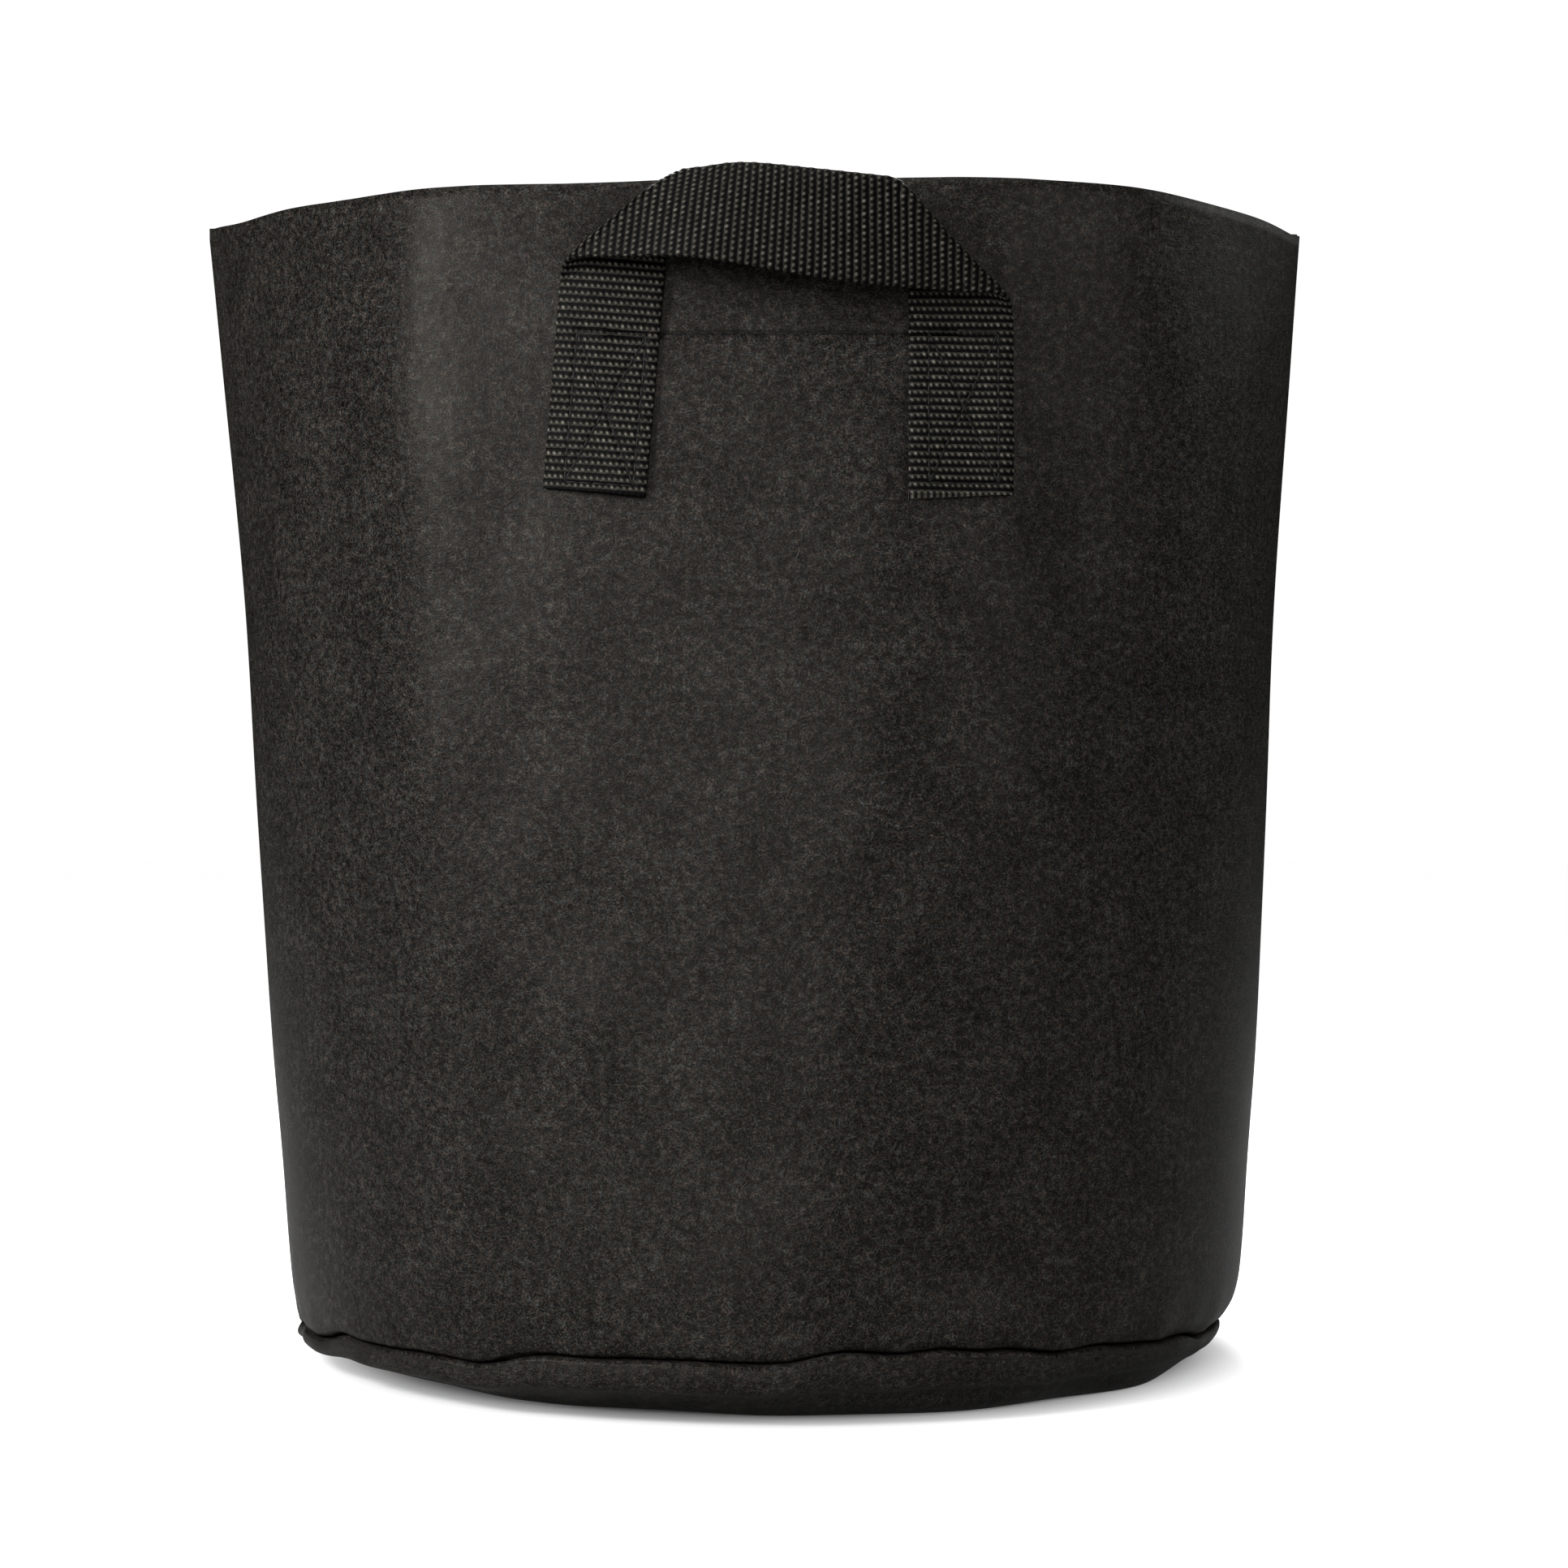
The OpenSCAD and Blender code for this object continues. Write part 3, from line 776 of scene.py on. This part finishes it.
def handle_stitches(face, material):
    """A handle's needle thread on the outside, and its bobbin thread on the felt inside the bag."""
    outward = np.array([0.0, face, 0.0])
    needle, bobbin = [], []

    def inside(x, z):
        y = wall_y(x, z, face) - face * (FELT + 0.12 * MM)
        return np.stack([x, y, z], -1), np.repeat(-outward[None], len(x), 0)

    for side in (LEFT, RIGHT):
        for start, end in box_lines(side):
            v, u = line_between(start, end)
            needle.append(strap_surface(v if side == LEFT else LOOP - v, u, face))
            bobbin.append(inside(*leg_point(side, u, v)))
    gap = LEG_SPACING / 2 - HALF_W
    x = np.linspace(HANDLE_X - gap, HANDLE_X + gap, 60)
    z = ROW_Z + 0.15 * MM * waves(x, 0 * x, 0.03, 61, 4)
    needle.append((np.stack([x, wall_y(x, z, face), z], -1), np.repeat(outward[None], len(x), 0)))
    bobbin.append(inside(x, z))
    side = "front" if face == FRONT else "back"
    stitches(f"{side}_handle_needle_stitches", needle, material, f"{side}_handle_needle_thread")
    stitches(f"{side}_handle_bobbin_stitches", bobbin, material, f"{side}_handle_bobbin_thread")


def seam_stitches(material):
    """The hidden rows: round the base seam and up the side seam, needle side and bobbin side."""
    angle = np.linspace(0.03, 2 * math.pi - 0.03, 900)
    up = np.repeat([[0.0, 0.0, 1.0]], len(angle), 0)
    radius = BASE_R - 6 * MM - seam_pull(angle)
    for name, lift, way in (("needle", 0.15 * MM + FELT, 1), ("bobbin", -0.15 * MM - FELT, -1)):
        z = seam_height(angle) + lift + way * 0.1 * MM
        ring = np.stack([radius * np.cos(angle) + lean_x(z), radius * np.sin(angle), z], -1)
        stitches(f"base_seam_{name}_stitches", [(ring, up * way)], material, f"base_seam_{name}_thread")
    z = np.linspace(20 * MM, RIM_Z - 2 * MM, 200)
    for name, way in (("needle", -1), ("bobbin", 1)):
        y = way * (SLIT / 2 + FELT + 0.1 * MM)
        fin = np.stack([half_x(share(z)) - 6 * MM + lean_x(z), y + 0 * z, z], -1)
        sideways = np.repeat([[0.0, float(way), 0.0]], len(z), 0)
        stitches(f"side_seam_{name}_stitches", [(fin, sideways)], material, f"side_seam_{name}_thread")


# ---- studio ----

MIDDLE_Z = 0.15
FLOOR_DROP = 0.2 * MM
SHADE_EDGE = (0.100, 0.140)  # the floor fades to white between these distances from its middle
WORLD_LIGHT, WORLD_SEEN = 0.13, 1.05


def camera():
    """A level camera half way up the bag, with a 78 mm lens just under a metre away."""
    data = bpy.data.cameras.new("camera")
    data.sensor_width, data.lens = 36, 77.9
    eye = bpy.data.objects.new("camera", data)
    distance, height, yaw, pan = 0.935, 0.154, math.radians(2.5), math.radians(0.466)
    eye.location = (distance * math.sin(yaw), -distance * math.cos(yaw), height)
    eye.rotation_euler = (math.pi / 2, 0, yaw - pan)
    bpy.context.collection.objects.link(eye)
    bpy.context.scene.camera = eye


def lamp(name, place, size, power):
    """A round lamp that shines at the middle of the bag."""
    data = bpy.data.lights.new(name, "AREA")
    data.shape, data.size, data.energy = "DISK", size, power
    made = bpy.data.objects.new(name, data)
    made.location = place
    aim = made.location.copy()
    aim.xyz = (-place[0], -place[1], MIDDLE_Z - place[2])
    made.rotation_mode = "QUATERNION"
    made.rotation_quaternion = aim.to_track_quat("-Z", "Y")
    bpy.context.collection.objects.link(made)


def surround():
    """White to the camera, dim as a light, and absent from glossy reflections."""
    world = bpy.data.worlds.new("surround")
    world.use_nodes = True
    nodes, links = world.node_tree.nodes, world.node_tree.links
    seen = node(nodes, "ShaderNodeLightPath").outputs["Is Camera Ray"]
    mixed = node(nodes, "ShaderNodeMix", data_type="RGBA")
    links.new(seen, mixed.inputs["Factor"])
    mixed.inputs[6].default_value = (WORLD_LIGHT, WORLD_LIGHT, WORLD_LIGHT, 1)
    mixed.inputs[7].default_value = (WORLD_SEEN, WORLD_SEEN, WORLD_SEEN, 1)
    links.new(mixed.outputs[2], nodes["Background"].inputs[0])
    bpy.context.scene.world = world
    world.cycles_visibility.glossy = False


def around(turn, lift, distance):
    """A place round the bag: turn degrees to the left of its front, lift degrees up."""
    turn, lift = math.radians(turn), math.radians(lift)
    return (-distance * math.cos(lift) * math.sin(turn), -distance * math.cos(lift) * math.cos(turn),
            MIDDLE_Z + distance * math.sin(lift))


def studio():
    """A plain white floor, a key light from the left and softer ones round the bag and above it."""
    under = (0, 0, -FLOOR_DROP)
    bpy.ops.mesh.primitive_circle_add(vertices=96, radius=6, fill_type="NGON", location=under)
    floor = bpy.context.object
    floor.name = "floor"
    material, nodes, links, calc, graded = material_of("floor_white")
    shader = nodes["Principled BSDF"]
    mottle = node(nodes, "ShaderNodeTexNoise")
    mottle.inputs["Scale"].default_value = 30
    tone = graded(mottle.outputs["Fac"], (0.0, 0.38), (1.0, 0.42))
    links.new(tone, shader.inputs["Base Color"])
    shader.inputs["Roughness"].default_value = 0.7
    place = node(nodes, "ShaderNodeVectorMath", operation="DISTANCE")
    links.new(node(nodes, "ShaderNodeTexCoord").outputs["Object"], place.inputs[0])
    place.inputs[1].default_value = (0.006, 0, 0)
    # painted light: away from the bag the floor glows white to the camera alone, over its shadows;
    # within 0.10 m of its middle it doesn't glow, so the shade under the bag shows
    far = node(nodes, "ShaderNodeMapRange", interpolation_type="SMOOTHSTEP")
    links.new(place.outputs["Value"], far.inputs["Value"])
    far.inputs["From Min"].default_value, far.inputs["From Max"].default_value = SHADE_EDGE
    far.inputs["To Max"].default_value = 0.95
    shader.inputs["Emission Color"].default_value = (1, 1, 1, 1)
    seen = node(nodes, "ShaderNodeLightPath").outputs["Is Camera Ray"]
    links.new(calc("MULTIPLY", far.outputs[0], seen), shader.inputs["Emission Strength"])
    floor.data.materials.append(material)
    surround()
    lamp("key", around(50, 24, 0.75), 0.2, 6.9)
    lamp("front", around(8, 9, 1.2), 0.3, 5.4)
    lamp("fill", around(-50, 22, 1.2), 0.4, 5.0)
    lamp("side", around(-125, 30, 1.2), 0.5, 1.2)
    lamp("back", around(180, 30, 1.2), 0.5, 14.0)
    lamp("top", (0, 0.1, 1.5), 0.8, 8.0)
    bpy.context.scene.view_settings.view_transform = "Standard"


def build():
    camera()
    studio()
    felt, webbing, thread = felt_material(), webbing_material(), thread_material()
    wall_panel(felt)
    base_panel(felt)
    for name, face in (("front_strap", FRONT), ("back_strap", BACK)):
        strap(name, face, webbing)
        handle_stitches(face, thread)
    seam_stitches(thread)


build()
